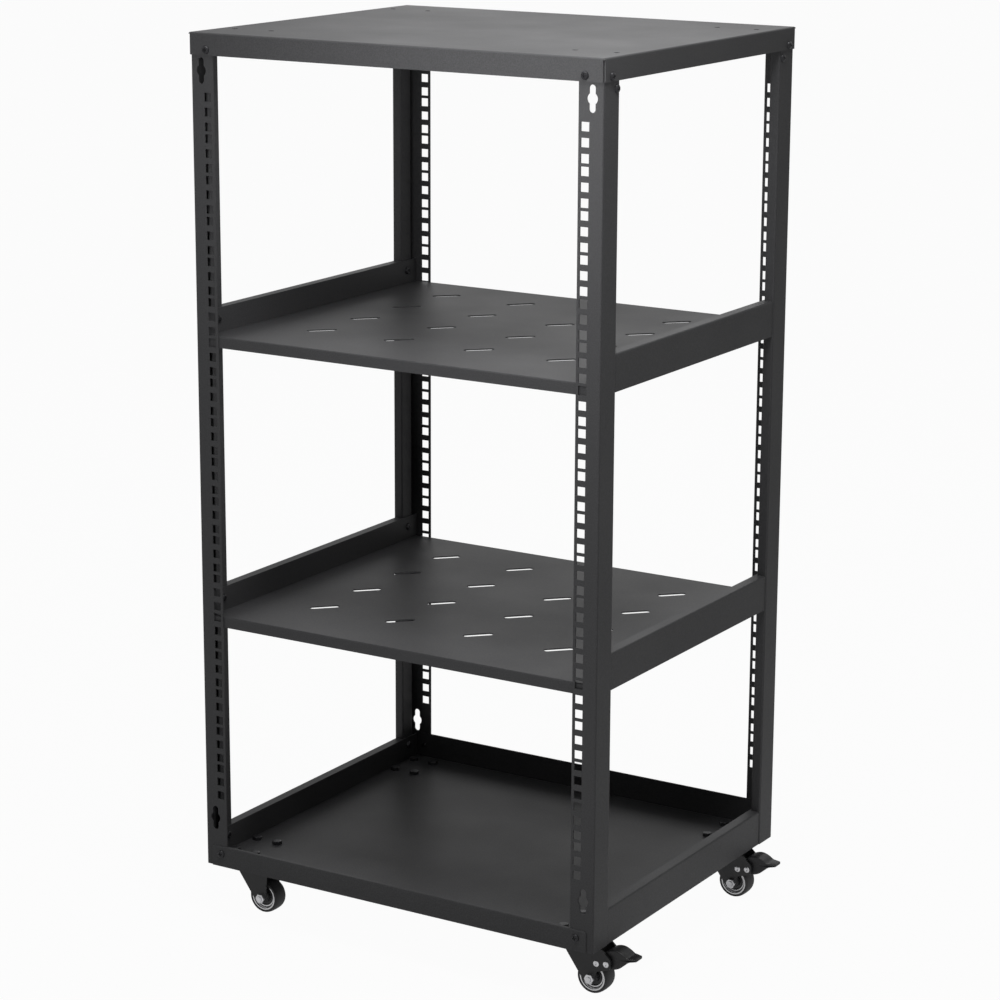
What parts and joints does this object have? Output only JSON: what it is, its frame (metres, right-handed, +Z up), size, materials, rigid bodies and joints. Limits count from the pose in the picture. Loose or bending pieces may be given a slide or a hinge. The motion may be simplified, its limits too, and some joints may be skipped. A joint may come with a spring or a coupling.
{
  "type": "audio equipment rack",
  "caption": "Open-frame rolling rack of folded steel sheet: perforated rack posts, folded top, slotted shelves, a bottom tray and swivel casters with brake pedals.",
  "frame": {"origin": "on the floor under the middle of the frame formed by the four posts", "axes": "+Z up, -Y towards the front that the apron is on, +X towards the side with the brakes"},
  "size_m": [0.5431, 0.4282, 1.0029],
  "materials": {
    "coated_steel": "fine-textured matt powder coat",
    "black_hardware": "satin black",
    "caster_steel": "satin black",
    "zinc_hardware": "bright zinc plate",
    "wheel_plastic": "satin grey",
    "tyre_rubber": "matt",
    "pedal_plastic": "satin"
  },
  "bodies": {
    "frame": {"front_left_post": "coated_steel", "front_right_post": "coated_steel", "rear_left_post": "coated_steel", "rear_right_post": "coated_steel", "top_panel": "coated_steel", "upper_shelf": "coated_steel", "lower_shelf": "coated_steel", "bottom_tray": "coated_steel", "tray_apron": "coated_steel", "tray_back": "coated_steel", "top_panel_screws": "black_hardware", "upper_shelf_screws": "black_hardware", "lower_shelf_screws": "black_hardware", "tray_screws": "black_hardware", "caster_bolts": "black_hardware", "caster_nuts": "zinc_hardware", "front_left_caster_plate": "caster_steel", "front_left_swivel_race": "caster_steel", "front_left_kingpin": "zinc_hardware", "front_right_caster_plate": "caster_steel", "front_right_swivel_race": "caster_steel", "front_right_kingpin": "zinc_hardware", "rear_left_caster_plate": "caster_steel", "rear_left_swivel_race": "caster_steel", "rear_left_kingpin": "zinc_hardware", "rear_right_caster_plate": "caster_steel", "rear_right_swivel_race": "caster_steel", "rear_right_kingpin": "zinc_hardware"},
    "front_left_caster": {"front_left_fork": "caster_steel", "front_left_axle": "zinc_hardware", "front_left_axle_nut": "zinc_hardware"},
    "front_left_wheel": {"front_left_wheel_rim": "wheel_plastic", "front_left_tyre": "tyre_rubber"},
    "front_right_caster": {"front_right_fork": "caster_steel", "front_right_axle": "zinc_hardware", "front_right_axle_nut": "zinc_hardware", "front_right_brake_pin": "zinc_hardware", "front_right_brake_rivets": "zinc_hardware"},
    "front_right_wheel": {"front_right_wheel_rim": "wheel_plastic", "front_right_tyre": "tyre_rubber"},
    "front_right_brake": {"front_right_brake_pedal": "pedal_plastic"},
    "rear_left_caster": {"rear_left_fork": "caster_steel", "rear_left_axle": "zinc_hardware", "rear_left_axle_nut": "zinc_hardware"},
    "rear_left_wheel": {"rear_left_wheel_rim": "wheel_plastic", "rear_left_tyre": "tyre_rubber"},
    "rear_right_caster": {"rear_right_fork": "caster_steel", "rear_right_axle": "zinc_hardware", "rear_right_axle_nut": "zinc_hardware", "rear_right_brake_pin": "zinc_hardware", "rear_right_brake_rivets": "zinc_hardware"},
    "rear_right_wheel": {"rear_right_wheel_rim": "wheel_plastic", "rear_right_tyre": "tyre_rubber"},
    "rear_right_brake": {"rear_right_brake_pedal": "pedal_plastic"}
  },
  "joints": [
    {"name": "front_left_swivel", "type": "hinge", "parent": "frame", "child": "front_left_caster", "pos_m": [-0.217, -0.165, 0.0725], "axis": [0, 0, 1], "continuous": true},
    {"name": "front_left_wheel_spin", "type": "hinge", "parent": "front_left_caster", "child": "front_left_wheel", "pos_m": [-0.2015, -0.165, 0.019], "axis": [0, 1, 0], "continuous": true},
    {"name": "front_right_swivel", "type": "hinge", "parent": "frame", "child": "front_right_caster", "pos_m": [0.217, -0.165, 0.0725], "axis": [0, 0, 1], "continuous": true},
    {"name": "front_right_wheel_spin", "type": "hinge", "parent": "front_right_caster", "child": "front_right_wheel", "pos_m": [0.2325, -0.165, 0.019], "axis": [0, 1, 0], "continuous": true},
    {"name": "front_right_brake_press", "type": "hinge", "parent": "front_right_caster", "child": "front_right_brake", "pos_m": [0.2515, -0.165, 0.039], "axis": [0, 1, 0], "range_deg": [0, 20]},
    {"name": "rear_left_swivel", "type": "hinge", "parent": "frame", "child": "rear_left_caster", "pos_m": [-0.217, 0.165, 0.0725], "axis": [0, 0, 1], "continuous": true},
    {"name": "rear_left_wheel_spin", "type": "hinge", "parent": "rear_left_caster", "child": "rear_left_wheel", "pos_m": [-0.2015, 0.165, 0.019], "axis": [0, 1, 0], "continuous": true},
    {"name": "rear_right_swivel", "type": "hinge", "parent": "frame", "child": "rear_right_caster", "pos_m": [0.217, 0.165, 0.0725], "axis": [0, 0, 1], "continuous": true},
    {"name": "rear_right_wheel_spin", "type": "hinge", "parent": "rear_right_caster", "child": "rear_right_wheel", "pos_m": [0.2325, 0.165, 0.019], "axis": [0, 1, 0], "continuous": true},
    {"name": "rear_right_brake_press", "type": "hinge", "parent": "rear_right_caster", "child": "rear_right_brake", "pos_m": [0.2515, 0.165, 0.039], "axis": [0, 1, 0], "range_deg": [0, 20]}
  ]
}
